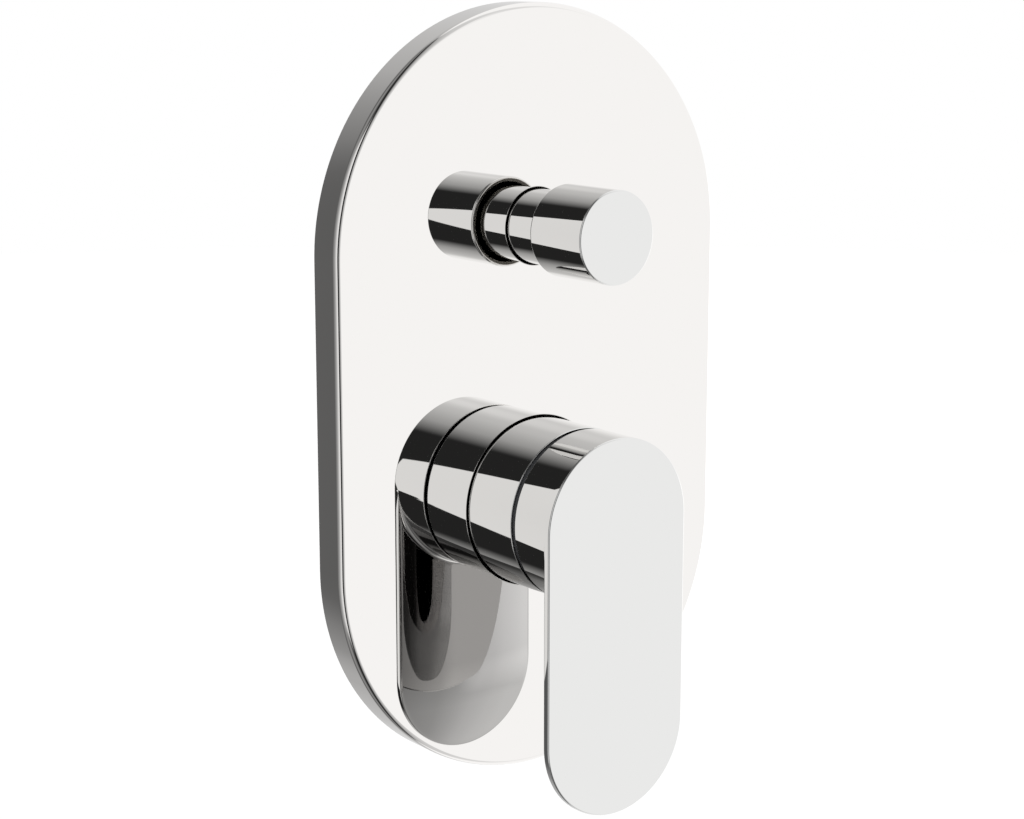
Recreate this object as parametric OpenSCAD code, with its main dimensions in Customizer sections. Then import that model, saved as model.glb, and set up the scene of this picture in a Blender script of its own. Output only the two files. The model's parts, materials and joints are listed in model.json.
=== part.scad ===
// Concealed shower mixer with a two-way pull diverter behind an obround cover plate.
// Origin: centre of the plate, on the face of the wall. +X right, +Z up, and the wall lies at +Y.
// Every piece is drawn with z pointing out of the wall and y pointing up, and stand() turns it upright.
// A value called "out" is a distance from the face of the wall towards the room.

/* [Cover plate] */
// Width of the plate
plate_w = 120; // [100:1:150]
// Height of the plate
plate_h = 196; // [184:1:240]
// How far the plate's face stands out of the wall
plate_d = 9.2; // [7.6:0.2:11]
// Thickness of the plate's sheet
plate_wall = 1.5; // [1:0.1:2]
// Radius of the plate's front edge
plate_edge = 1.4; // [0.5:0.1:2.5]
// Width of the foam strip inside the rim
gasket_w = 5; // [3:0.5:8]
// Thickness of the foam strip
gasket_t = 4; // [2:0.5:5]
// Wall of the collars behind the plate's two holes
collar_wall = 1.6; // [1:0.1:2.5]
// Gap all round between a hole of the plate and its sleeve
hole_gap = 0.4; // [0.2:0.05:0.6]

/* [Lever and sleeve] */
// Height of the mixer's axis from the plate's centre
mixer_z = -27.5; // [-33:0.5:-26]
// Diameter of the sleeve, the hub and the paddle's round ends
sleeve_d = 43.6; // [40:0.2:50]
// Wall of the sleeve over the body's neck
sleeve_wall = 2.75; // [2:0.05:3.2]
// Length of the sleeve that shows in front of the plate
sleeve_show = 17.5; // [15:0.1:22]
// Width of the parting gap between sleeve and hub
parting = 1.6; // [1:0.1:2.2]
// Length of the hub behind the paddle
hub_len = 11.4; // [10.4:0.2:16]
// Thickness of the paddle's edge
paddle_t = 1.9; // [1.6:0.1:5]
// How far the paddle's back is crowned towards the wall
paddle_crown = 3.2; // [1:0.1:4]
// Distance between the centres of the paddle's round ends
paddle_drop = 53; // [30:1:80]
// Radius of the paddle's front edge
paddle_edge = 0.4; // [0.2:0.1:0.8]
// Metal left over the hub's hollow, behind the paddle's back
hub_roof = 0.4; // [0.2:0.1:1]
// Thickness of the hub's rim
rim_t = 0.25; // [0.2:0.05:0.6]
// Angle through which the lever lifts
lift = 24; // [16:1:26]

/* [Cartridge] */
// Wall of the cartridge's housing
cart_wall = 1.95; // [1.6:0.05:2.2]
// Height of the tilt pin over the cartridge's seat
pin_height = 31; // [30.5:0.5:36]
// Depth of the tilt pin behind the sleeve's end
pin_depth = 6; // [5.5:0.25:7]
// Diameter of the tilt pin
pin_d = 3; // [2:0.5:4]
// Width of the spindle, across its flats
stem_w = 8; // [7:0.5:8.5]
// Length of the spindle from the tilt pin to its outer end
stem_len = 16.5; // [14:0.5:17]
// Length of the spindle from the tilt pin to the middle of its lower barrel
arm_len = 14.3; // [13.8:0.1:14.8]
// Thickness of the spindle's lower arm
arm_t = 4; // [3:0.2:4.2]
// Radius of the spindle's lower barrel
barrel_r = 2.6; // [2.4:0.05:2.8]
// Thickness of the cartridge's base
base_t = 5; // [4:0.25:5.5]
// Thickness of each ceramic disc
disc_t = 4; // [3:0.25:4]
// Play round the moving disc at the ends of its travel
disc_play = 0.55; // [0.2:0.05:1.2]
// Thickness of the carrier on the moving disc
carrier_t = 5.5; // [5.2:0.1:5.7]
// Thickness of the rotor's flange
flange_t = 3; // [2:0.1:3.2]
// Radius of the rotor's neck
rotor_neck_r = 9; // [8.5:0.1:9.3]
// Height of the rotor's neck over the tilt pin
rotor_top = 4.6; // [3.6:0.2:5]
// Wall of the housing's neck round the rotor
housing_neck_wall = 2.4; // [1.6:0.1:2.6]
// Radius of the hot and cold ports in the base and the fixed disc
inlet_port_r = 2.8; // [2.2:0.1:3]
// Radius of the mixed water's port
outlet_port_r = 3.2; // [2.6:0.1:3.4]
// Width of the rubber rings round the base's ports
seal_w = 1.5; // [1:0.1:1.7]
// Depth of the rubber rings in the base
seal_deep = 1.2; // [0.8:0.1:2]
// Thickness of the nut's threaded part over the housing's shoulder
nut_thread = 5.7; // [4:0.1:7]
// Height of the nut's hexagon
nut_hex = 2.5; // [2:0.1:3]
// Height of the temperature stop ring
stop_t = 2; // [1.5:0.1:2.4]

/* [Diverter] */
// Height of the diverter's axis from the plate's centre
diverter_z = 43; // [38:0.5:48]
// Diameter of the neck
neck_d = 18.8; // [17.6:0.2:19.6]
// Diameter of the knob
knob_d = 23; // [22.6:0.2:30]
// Length of the neck that shows between plate and knob
neck_show = 11.6; // [9:0.2:15]
// Length of the knob
knob_len = 19.3; // [16:0.1:26]
// Wall of the knob's skirt
knob_wall = 1.4; // [0.8:0.1:1.6]
// Thickness of the knob's front
knob_front_t = 5.4; // [4:0.2:7]
// Radius of the knob's front edge
knob_edge = 0.4; // [0.2:0.1:1]
// Travel of the knob
pull = 7; // [5:0.5:7.5]
// Diameter of the diverter's rod
rod_d = 5; // [4:0.2:5.6]
// Length of the valve seat insert
seat_len = 11; // [10.6:0.2:13]
// Width of the windows in the seat insert's waist
window_w = 6.2; // [4.4:0.2:7]
// Thickness of the rubber washers on the rod
washer_t = 2; // [1.5:0.1:2.5]

/* [Valve body] */
// Inner radius of the G1/2 ports, at the crests of their thread
port_r = 9.3; // [8.5:0.05:9.8]
// Depth of the ports' threaded bores
port_len = 13; // [10:0.5:15]
// Distance of the inlet ports' faces from the centre line
inlet_reach = 36; // [35:0.5:45]
// Height of the shower outlet's face over the diverter's axis
shower_reach = 31; // [28:0.5:40]
// Depth of the bath outlet's face under the mixer's axis
bath_reach = 37; // [35:0.5:50]
// Wall of the body round its ports
port_wall = 4; // [3:0.25:5]
// Radius of the passages from the inlet ports
passage_r = 4.5; // [3.5:0.1:5]
// Distance of each fixing ear from the centre line
ear_x = 24; // [22:0.5:30]
// Radius of the holes in the fixing ears
ear_hole_r = 2.75; // [2:0.25:3]

/* [Hidden] */
// Radial clearance of turned and sliding fits
fit = 0.05;
// Film between the two ceramic discs and under the rotor
film = 0.05;
// Thinnest wall beside a thread
thread_wall = 2;
// Rounding of the sharp edges on turned pieces
turned_edge = 0.2;
// Length by which every cut runs past the face it opens
over = 1;
$fn = 96;

plate_r = plate_w / 2;
plate_half = plate_h / 2 - plate_r;
sheet_back = plate_d - plate_wall;
collar_foot = 2.2;

sleeve_r = sleeve_d / 2;
sleeve_out = plate_d + sleeve_show;
rim_out = sleeve_out + parting;
paddle_back = rim_out + hub_len;
paddle_front = paddle_back + paddle_t;
pin_out = sleeve_out - pin_depth;
lean = lift / 2;
hollow_r = sqrt(pow(sleeve_r - rim_t, 2) + pow(rim_out - pin_out, 2));
roof_out = paddle_back - hub_roof;
crown_out = paddle_back - paddle_crown;
crown_flat = 1.5;
crown_rim = 0.5;
crown_half = sleeve_r - crown_flat - crown_rim;
crown_r = (pow(crown_half, 2) + pow(paddle_crown, 2)) / (2 * paddle_crown);

body_neck_r = sleeve_r - sleeve_wall - fit;
nut_r = body_neck_r - thread_wall;
cart_r = nut_r - thread_wall;
cart_in = cart_r - cart_wall;
seat_out = pin_out - pin_height;
base_lip = 3;
housing_foot = seat_out + base_lip;
fixed_out = seat_out + base_t;
moving_out = fixed_out + disc_t + film;
carrier_out = moving_out + disc_t;
carrier_top = carrier_out + carrier_t;
carrier_floor = 0.85;
rotor_gap = 0.3;
rotor_proud = 0.6;
pin_recess = 0.4;
flange_out = carrier_top + rotor_gap;
shoulder_in = flange_out + flange_t + film;
shoulder_t = 2.5;
shoulder_out = shoulder_in + shoulder_t;
housing_neck_r = rotor_neck_r + fit + housing_neck_wall;
housing_neck_top = pin_out + rotor_top - rotor_proud;
disc_shift = arm_len * sin(lean);
disc_r = cart_in - disc_shift - disc_play;
slot_gap = 0.45;
arm_inset = 1;
arm_reach = (arm_len - arm_inset) * sin(lean) + arm_t / 2;
stem_reach = rotor_top * tan(lean) + stem_w / 2 / cos(lean);
slot_half = max(arm_reach, stem_reach) + slot_gap;
inlet_port_x = 6.5;
inlet_port_y = -2.5;
outlet_port_y = 7;
eye_wall = 0.6;
pocket_mid_r = 4.5;
pocket_lip = 1.5;
pocket_y = disc_r - pocket_mid_r - pocket_lip;
lobe_r = 3;
lobe_out = 0.5;
lobe_drop = 1;
lobe_x = pocket_y + lobe_out;

body_neck_top = shoulder_out + nut_thread;
nut_top = body_neck_top + nut_hex;
nut_gap = 0.25;
nut_bore = housing_neck_r + nut_gap;
limit_w = 2;
limit_r = nut_bore + limit_w;
lug_w = 4;
lug_h = 1.4;
sleeve_rib_t = 2;
sleeve_rib_w = 1;
sleeve_rib_r = nut_r + sleeve_rib_w;
guide_skin = 2.1;
guide_r = sleeve_r - guide_skin;
guide_wall = 2;
guide_gap = 0.9;
guide_dome_r = hollow_r - guide_gap;
guide_in_hub = 2.1;
guide_top = rim_out + guide_in_hub;
sleeve_foot = 1;
groove_w = 1.8;
groove_deep = 1.1;
groove_behind = 2.8;
oring_r = 0.7;
groove_out = plate_d - plate_wall - groove_behind;

boss_wall = 4;
boss_gap = 3;
boss_half = stem_w / 2 + boss_wall;
boss_start = rotor_top + boss_gap;
screw_r = 2;
screw_len = 4;
screw_up = 12.6;
screw_out = pin_out + screw_up;
screw_key_w = 2;
screw_hole_r = 2.6;
plug_t = 2;
screw_tip = (screw_up + screw_r) * tan(lean) + stem_w / 2 / cos(lean);

neck_r = neck_d / 2;
neck_wall = 2;
knob_r = knob_d / 2;
knob_back = plate_d + neck_show;
knob_out = knob_back + knob_len;
knob_roof = knob_out - knob_front_t;
neck_foot = 1.5;
neck_end_gap = 2.5;
neck_out = knob_roof - neck_end_gap;
knob_boss_r = 4.6;
knob_boss_set = 2.3;
knob_boss_back = knob_back + knob_boss_set;
knob_skin = 3.4;
rod_r = rod_d / 2;
rod_out = knob_out - knob_skin;

bonnet_r = 10;
bonnet_face = -1;
bonnet_gasket_t = 1;
bonnet_flange_t = 1.5;
bonnet_flange_r = 13.4;
bonnet_gasket_r = 11.5;
bonnet_thread = 8;
bonnet_gap = 6;
bonnet_back = bonnet_face - bonnet_thread;
bonnet_top = knob_boss_back - bonnet_gap;
gland_z = (bonnet_face + bonnet_back) / 2;
gland_w = 1.9;
gland_deep = 1.6;
rod_oring_r = 0.75;
collar_t = 1.7;
stop_gap = 0.3;
collar_front = bonnet_back - stop_gap - pull;
collar_r = 6;
washer_r = 6.3;
rear_washer_r = 6.5;
seat_front = collar_front - collar_t - washer_t;
seat_back = seat_front - seat_len;
seat_r = 8;
seat_bore = 4.8;
seat_waist = 1.4;
window_margin = 0.4;
seal_r = 0.48;
seal_groove_w = 1.2;
seal_groove_deep = 1;
circlip_t = 1;
circlip_in = 6.6;
circlip_r = 9;
circlip_gap = 4;
rear_front = seat_back - pull;
rear_back = rear_front - washer_t;
rear_disc_t = 1.5;
clip_t = 0.8;
clip_w = 1.9;
clip_r = rod_r + clip_w;
rod_groove_deep = 0.7;
rod_tail = 0.9;
rod_back = rear_back - rear_disc_t - clip_t - rod_tail;
front_bore = 8.6;
rear_bore = 7.2;
rear_gap = 0.8;
rear_end = rod_back - rear_gap;
diverter_wall = 3;
diverter_body_r = bonnet_r + diverter_wall;
seat_mid = (seat_front + seat_back) / 2;

body_floor = 1.4;
port_body_r = port_r + port_wall;
port_corner = 0.7;
port_turn = 22.5;
passage_past = 1.5;
channel_wall = 2.8;
inlet_out = seat_out - body_floor - passage_r;
mixed_r = 3.2;
mixed_out = seat_mid;
bath_r = 4;
bath_back = 2.5;
bath_port_set = 7;
bath_out = (rear_front + seat_back) / 2 - bath_back;
bath_port_out = bath_out + bath_port_set;
shower_out = (bonnet_back + seat_front) / 2;
shower_r = 4;
chamber_skin = 1;
chamber_r = body_neck_r + chamber_skin;
ear_r = 7;
ear_t = 4;
ear_y = 12;
strap_w = 10;
ear_set = 2;
ear_out = bath_out + ear_set;

module stand() {
    rotate([90, 0, 0]) children();
}

module mixer_axis() {
    stand() translate([0, mixer_z, 0]) children();
}

module diverter_axis() {
    stand() translate([0, diverter_z, 0]) children();
}

// Round bar along z, out of the wall
module bar(r, z0, z1) {
    translate([0, 0, z0]) cylinder(r = r, h = z1 - z0);
}

// Tube along z
module tube(r, bore, z0, z1) {
    difference() {
        bar(r, z0, z1);
        bar(bore, z0 - over, z1 + over);
    }
}

// Round bar along y, upwards
module upright(r, y0, y1, z) {
    translate([0, y0, z]) rotate([-90, 0, 0]) cylinder(r = r, h = y1 - y0);
}

// Round bar along x
module across(r, x0, x1, y, z) {
    translate([x0, y, z]) rotate([0, 90, 0]) cylinder(r = r, h = x1 - x0);
}

// Rubber ring of round section
module oring(mid_r, r, z) {
    translate([0, 0, z]) rotate_extrude() translate([mid_r, 0]) circle(r = r, $fn = 32);
}

// Half section of a plain disc of radius r between z0 and z1, with its front edge rounded
module edged(r, z0, z1, edge) {
    translate([0, z0]) square([r, z1 - z0 - edge]);
    translate([0, z0]) square([r - edge, z1 - z0]);
    translate([r - edge, z1 - edge]) circle(r = edge, $fn = 48);
}

// Obround solid: the half section given as a child turned round two centres and drawn out between them
module obround(y_low, y_high) {
    translate([0, y_high, 0]) rotate_extrude(angle = 180) children();
    translate([0, y_low, 0]) rotate([0, 0, 180]) rotate_extrude(angle = 180) children();
    translate([0, y_high, 0]) rotate([90, 0, 0]) linear_extrude(height = y_high - y_low) {
        children();
        mirror([1, 0]) children();
    }
}

// Plate of pressed brass: a shallow obround pan, open to the wall, with a collar behind each hole
module escutcheon() {
    color("#e6e7e8") stand() difference() {
        union() {
            difference() {
                obround(-plate_half, plate_half) edged(plate_r, 0, plate_d, plate_edge);
                obround(-plate_half, plate_half)
                    translate([0, -over]) square([plate_r - plate_wall, sheet_back + over]);
            }
            translate([0, mixer_z, 0])
                bar(sleeve_r + hole_gap + collar_wall, collar_foot, sheet_back + plate_wall / 2);
            translate([0, diverter_z, 0])
                bar(neck_r + hole_gap + collar_wall, collar_foot, sheet_back + plate_wall / 2);
        }
        translate([0, mixer_z, 0]) bar(sleeve_r + hole_gap, 0, plate_d + over);
        translate([0, diverter_z, 0]) bar(neck_r + hole_gap, 0, plate_d + over);
    }
}

// Foam strip stuck inside the rim of the plate
module wall_gasket() {
    foam_r = plate_r - plate_wall;
    color("#4a4d50") stand() difference() {
        obround(-plate_half, plate_half) square([foam_r, gasket_t]);
        obround(-plate_half, plate_half)
            translate([0, -over]) square([foam_r - gasket_w, gasket_t + 2 * over]);
    }
}

// Turned sleeve, screwed on the body's neck, with a groove for the ring that holds the plate
module mixer_sleeve() {
    color("#e6e7e8") mixer_axis() difference() {
        rotate_extrude() edged(sleeve_r, sleeve_foot, sleeve_out, turned_edge);
        bar(body_neck_r + fit, sleeve_foot - over, body_neck_top);
        bar(sleeve_rib_r, sleeve_foot, sleeve_out + over);
        bar(guide_r + fit, body_neck_top + sleeve_rib_t, sleeve_out + over);
        difference() {
            bar(sleeve_r + over, groove_out, groove_out + groove_w);
            bar(sleeve_r - groove_deep, groove_out - over, groove_out + groove_w + over);
        }
    }
}

module sleeve_oring() {
    color("#26282a") mixer_axis()
        oring(sleeve_r + hole_gap - oring_r - fit, oring_r, groove_out + groove_w / 2);
}

// Moulded ring that centres the hub on the sleeve: a dome whose centre is the tilt pin
module glide_ring() {
    color("#1d1f21") mixer_axis() rotate_extrude() {
        translate([guide_r - guide_wall, body_neck_top + sleeve_rib_t])
            square([guide_wall, sleeve_out - body_neck_top - sleeve_rib_t]);
        intersection() {
            translate([0, pin_out]) circle(r = guide_dome_r);
            translate([guide_r - guide_wall, sleeve_out])
                square([sleeve_r, guide_top - sleeve_out]);
        }
    }
}

module cartridge_nut() {
    color("#b5914e") mixer_axis() difference() {
        union() {
            bar(nut_r, shoulder_out, body_neck_top);
            translate([0, 0, body_neck_top]) cylinder(r = nut_r, h = nut_hex, $fn = 6);
        }
        bar(nut_bore, shoulder_out - over, nut_top + over);
    }
}

// Temperature stop: a ring with a lug, lying on the nut
module limit_ring() {
    color("#c0392b") mixer_axis() difference() {
        union() {
            bar(limit_r, nut_top, nut_top + stop_t);
            translate([-lug_w / 2, nut_bore, nut_top]) cube([lug_w, limit_r + lug_h - nut_bore, stop_t]);
        }
        bar(housing_neck_r + fit, nut_top - over, nut_top + stop_t + over);
    }
}

// Moulded housing: a cup, open at its foot, with a neck for the rotor
module cartridge_housing() {
    color("#e9e6df") mixer_axis() difference() {
        union() {
            bar(cart_r, housing_foot, shoulder_out);
            bar(housing_neck_r, shoulder_out, housing_neck_top);
        }
        bar(cart_in, housing_foot - over, shoulder_in);
        bar(rotor_neck_r + fit, shoulder_in - over, housing_neck_top + over);
    }
}

module port_pair(r, z0, z1) {
    for (side = [-1, 1]) translate([side * inlet_port_x, inlet_port_y, 0]) bar(r, z0, z1);
}

module outlet_port(r, z0, z1) {
    translate([0, outlet_port_y, 0]) bar(r, z0, z1);
}

module cartridge_base() {
    color("#3d4247") mixer_axis() difference() {
        union() {
            bar(cart_r - fit, seat_out, housing_foot);
            bar(cart_in - fit, housing_foot, fixed_out);
        }
        port_pair(inlet_port_r, seat_out - over, fixed_out + over);
        outlet_port(outlet_port_r, seat_out - over, fixed_out + over);
        port_pair(inlet_port_r + seal_w, seat_out - over, seat_out + seal_deep);
        outlet_port(outlet_port_r + seal_w, seat_out - over, seat_out + seal_deep);
    }
}

module base_seals() {
    color("#1f2123") mixer_axis() difference() {
        union() {
            port_pair(inlet_port_r + seal_w - fit, seat_out, seat_out + seal_deep);
            outlet_port(outlet_port_r + seal_w - fit, seat_out, seat_out + seal_deep);
        }
        port_pair(inlet_port_r, seat_out - over, seat_out + seal_deep + over);
        outlet_port(outlet_port_r, seat_out - over, seat_out + seal_deep + over);
    }
}

module fixed_disc() {
    color("#f2f0ea") mixer_axis() difference() {
        bar(cart_in - 2 * fit, fixed_out, fixed_out + disc_t);
        port_pair(inlet_port_r, fixed_out - over, fixed_out + disc_t + over);
        outlet_port(outlet_port_r, fixed_out - over, fixed_out + disc_t + over);
    }
}

// Moving disc in the closed position: its pocket lies over the outlet port alone
module moving_disc() {
    pocket_top = moving_out + disc_t / 2;
    color("#f7f5f0") mixer_axis() translate([0, disc_shift, 0]) difference() {
        bar(disc_r, moving_out, moving_out + disc_t);
        translate([0, pocket_y, 0]) bar(pocket_mid_r, moving_out - over, pocket_top);
        for (side = [-1, 1])
            translate([side * lobe_x, pocket_y - lobe_drop, 0]) bar(lobe_r, moving_out - over, pocket_top);
    }
}

// Carrier on the moving disc, with a pocket for the spindle's barrel
module disc_carrier() {
    pocket = [stem_w + 2 * fit, 2 * barrel_r + 2 * fit, carrier_t];
    color("#d9d4c7") mixer_axis() translate([0, disc_shift, 0]) difference() {
        bar(disc_r, carrier_out, carrier_top);
        translate([-pocket.x / 2, -pocket.y / 2, carrier_out + carrier_floor]) cube(pocket);
    }
}

// Rotor that turns with the lever and holds the tilt pin
module rotor() {
    slot = [stem_w + 2 * fit, 2 * slot_half, pin_out + rotor_top - flange_out + 2 * over];
    color("#e4ded0") mixer_axis() difference() {
        union() {
            bar(cart_in - 2 * fit, flange_out, flange_out + flange_t);
            bar(rotor_neck_r, flange_out, pin_out + rotor_top);
        }
        translate([-slot.x / 2, -slot.y / 2, flange_out - over]) cube(slot);
        across(pin_d / 2, -rotor_neck_r - over, rotor_neck_r + over, 0, pin_out);
    }
}

module pivot_pin() {
    color("#9aa0a6") mixer_axis()
        across(pin_d / 2, pin_recess - rotor_neck_r, rotor_neck_r - pin_recess, 0, pin_out);
}

// Spindle: one flat profile with the tilt pin's hole, leaning with the closed lever
module spindle() {
    color("#c2a15c") mixer_axis() translate([0, 0, pin_out]) rotate([lean, 0, 0])
        rotate([0, -90, 0]) linear_extrude(height = stem_w, center = true) difference() {
            union() {
                circle(r = stem_w / 2 + eye_wall);
                translate([0, -stem_w / 2]) square([stem_len, stem_w]);
                translate([-arm_len, -arm_t / 2]) square([arm_len, arm_t]);
                translate([-arm_len, 0]) circle(r = barrel_r);
            }
            circle(r = pin_d / 2 + fit);
        }
}

// Half section of the paddle: flat in front, with a thin edge, and crowned at the back between a narrow
// flat strip down its middle and a narrow rim
module paddle_section() {
    edged(sleeve_r, paddle_back, paddle_front, paddle_edge);
    translate([0, crown_out]) square([crown_flat, paddle_crown + paddle_t / 2]);
    intersection() {
        translate([crown_flat, crown_out + crown_r]) circle(r = crown_r);
        translate([crown_flat, crown_out - over])
            square([crown_half + crown_rim / 2, over + paddle_crown + paddle_t / 2]);
    }
}

// Lever: hub and paddle cast in one, the hub hollowed to a sphere round the tilt pin
module lever() {
    socket = stem_w + 2 * fit;
    color("#e6e7e8") mixer_axis() difference() {
        union() {
            difference() {
                union() {
                    bar(sleeve_r, rim_out, paddle_back + paddle_t / 2);
                    obround(-paddle_drop, 0) paddle_section();
                }
                intersection() {
                    translate([0, 0, pin_out]) sphere(r = hollow_r);
                    bar(sleeve_r + over, pin_out, roof_out);
                }
            }
            intersection() {
                translate([0, 0, pin_out]) rotate([lean, 0, 0])
                    translate([-boss_half, -boss_half, boss_start])
                        cube([2 * boss_half, 2 * boss_half, paddle_back]);
                bar(sleeve_r, pin_out, roof_out + hub_roof / 2);
            }
        }
        translate([0, 0, pin_out]) rotate([lean, 0, 0])
            translate([-socket / 2, -socket / 2, boss_start - over])
                cube([socket, socket, stem_len - boss_start + over + fit]);
        upright(screw_r + fit, -boss_half - sleeve_r / 2, 0, screw_out);
        upright(screw_hole_r, -sleeve_r - over, -sleeve_r / 2 - screw_hole_r, screw_out);
    }
}

module lever_screw() {
    color("#8d9297") mixer_axis() difference() {
        upright(screw_r, -screw_tip - screw_len, -screw_tip, screw_out);
        translate([0, -screw_tip - screw_len - over, screw_out]) rotate([-90, 0, 0])
            cylinder(d = screw_key_w, h = over + screw_len / 2, $fn = 6);
    }
}

// Cover of the screw's hole, its face just under the hub's round surface
module lever_plug() {
    plug_face = sqrt(pow(sleeve_r, 2) - pow(screw_hole_r, 2)) - fit;
    color("#b9bcc0") mixer_axis()
        upright(screw_hole_r - fit, -plug_face, -plug_face + plug_t, screw_out);
}

module diverter_sleeve() {
    color("#e6e7e8") diverter_axis() difference() {
        rotate_extrude() edged(neck_r, neck_foot, neck_out, turned_edge);
        bar(neck_r - neck_wall, neck_foot - over, neck_out + over);
        difference() {
            bar(neck_r + over, groove_out, groove_out + groove_w);
            bar(neck_r - groove_deep, groove_out - over, groove_out + groove_w + over);
        }
    }
}

module neck_oring() {
    color("#26282a") diverter_axis()
        oring(neck_r + hole_gap - oring_r - fit, oring_r, groove_out + groove_w / 2);
}

// Knob: a turned cap that slides over the neck, with a boss screwed on the rod
module diverter_knob() {
    color("#e6e7e8") diverter_axis() difference() {
        rotate_extrude() edged(knob_r, knob_back, knob_out, knob_edge);
        difference() {
            bar(knob_r - knob_wall, knob_back - over, knob_roof);
            bar(knob_boss_r, knob_boss_back, knob_out);
        }
        bar(rod_r + fit, knob_back - over, rod_out);
    }
}

module diverter_rod() {
    groove_r = rod_r - rod_groove_deep;
    color("#c9ab66") diverter_axis() {
        bar(rod_r, rear_back - rear_disc_t, rod_out);
        bar(collar_r, collar_front - collar_t, collar_front);
        bar(groove_r, rod_back, rear_back - rear_disc_t);
        bar(rod_r, rod_back, rear_back - rear_disc_t - clip_t);
    }
}

module front_washer() {
    color("#202224") diverter_axis() tube(washer_r, rod_r + fit, seat_front, seat_front + washer_t);
}

module rear_washer() {
    color("#202224") diverter_axis() tube(rear_washer_r, rod_r + fit, rear_back, rear_front);
}

module rear_disc() {
    color("#b5914e") diverter_axis()
        tube(rear_washer_r, rod_r + fit, rear_back - rear_disc_t, rear_back);
}

// Snap ring: a flat ring with a quarter left open
module rod_clip() {
    clip_front = rear_back - rear_disc_t;
    color("#7d8287") diverter_axis() difference() {
        tube(clip_r, rod_r - rod_groove_deep + fit, clip_front - clip_t, clip_front);
        translate([0, 0, clip_front - clip_t - over]) cube([clip_r, clip_r, clip_t + 2 * over]);
    }
}

// Seat insert: a spool with a valve face at each end and four windows into its waist
module seat_insert() {
    land = (seat_len - window_w) / 2;
    window_r = window_w / 2 - window_margin;
    color("#c2a15c") diverter_axis() difference() {
        bar(seat_r, seat_back, seat_front);
        bar(seat_bore, seat_back - over, seat_front + over);
        difference() {
            bar(seat_r + over, seat_mid - window_w / 2, seat_mid + window_w / 2);
            bar(seat_r - seat_waist, seat_back, seat_front);
        }
        for (z = [seat_back + land / 2, seat_front - land / 2]) difference() {
            bar(seat_r + over, z - seal_groove_w / 2, z + seal_groove_w / 2);
            bar(seat_r - seal_groove_deep, seat_back, seat_front);
        }
        upright(window_r, -seat_r - over, seat_r + over, seat_mid);
        across(window_r, -seat_r - over, seat_r + over, 0, seat_mid);
    }
}

module seat_seals() {
    land = (seat_len - window_w) / 2;
    color("#26282a") diverter_axis()
        for (z = [seat_back + land / 2, seat_front - land / 2]) oring(seat_r - seal_r, seal_r, z);
}

// Circlip that keeps the insert in the body, open at its lower side
module seat_circlip() {
    color("#7d8287") diverter_axis() difference() {
        tube(circlip_r, circlip_in, seat_front, seat_front + circlip_t);
        translate([-circlip_gap / 2, -circlip_r - over, seat_front - over])
            cube([circlip_gap, circlip_r - circlip_in + 2 * over, circlip_t + 2 * over]);
    }
}

// Bonnet: closes the diverter's chamber, guides the rod and carries the neck
module diverter_bonnet() {
    flange_z = bonnet_face + bonnet_gasket_t;
    color("#b5914e") diverter_axis() difference() {
        union() {
            bar(bonnet_r, bonnet_back, flange_z);
            translate([0, 0, flange_z])
                cylinder(r = bonnet_flange_r, h = bonnet_flange_t, $fn = 6);
            bar(neck_r - neck_wall - fit, flange_z, bonnet_top);
        }
        bar(rod_r + fit, bonnet_back - over, bonnet_top + over);
        bar(rod_r + gland_deep, gland_z - gland_w / 2, gland_z + gland_w / 2);
    }
}

module bonnet_gasket() {
    color("#8a2f2a") diverter_axis()
        tube(bonnet_gasket_r, bonnet_r + fit, bonnet_face, bonnet_face + bonnet_gasket_t);
}

module rod_oring() {
    color("#26282a") diverter_axis() oring(rod_r + rod_oring_r + fit, rod_oring_r, gland_z);
}

// Threaded port along x or y: a round boss that ends in an octagon for the spanner
module port_body(len) {
    bar(port_body_r, 0, len);
    translate([0, 0, len - port_len]) rotate([0, 0, port_turn])
        cylinder(r = port_body_r + port_corner, h = port_len, $fn = 8);
}

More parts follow.
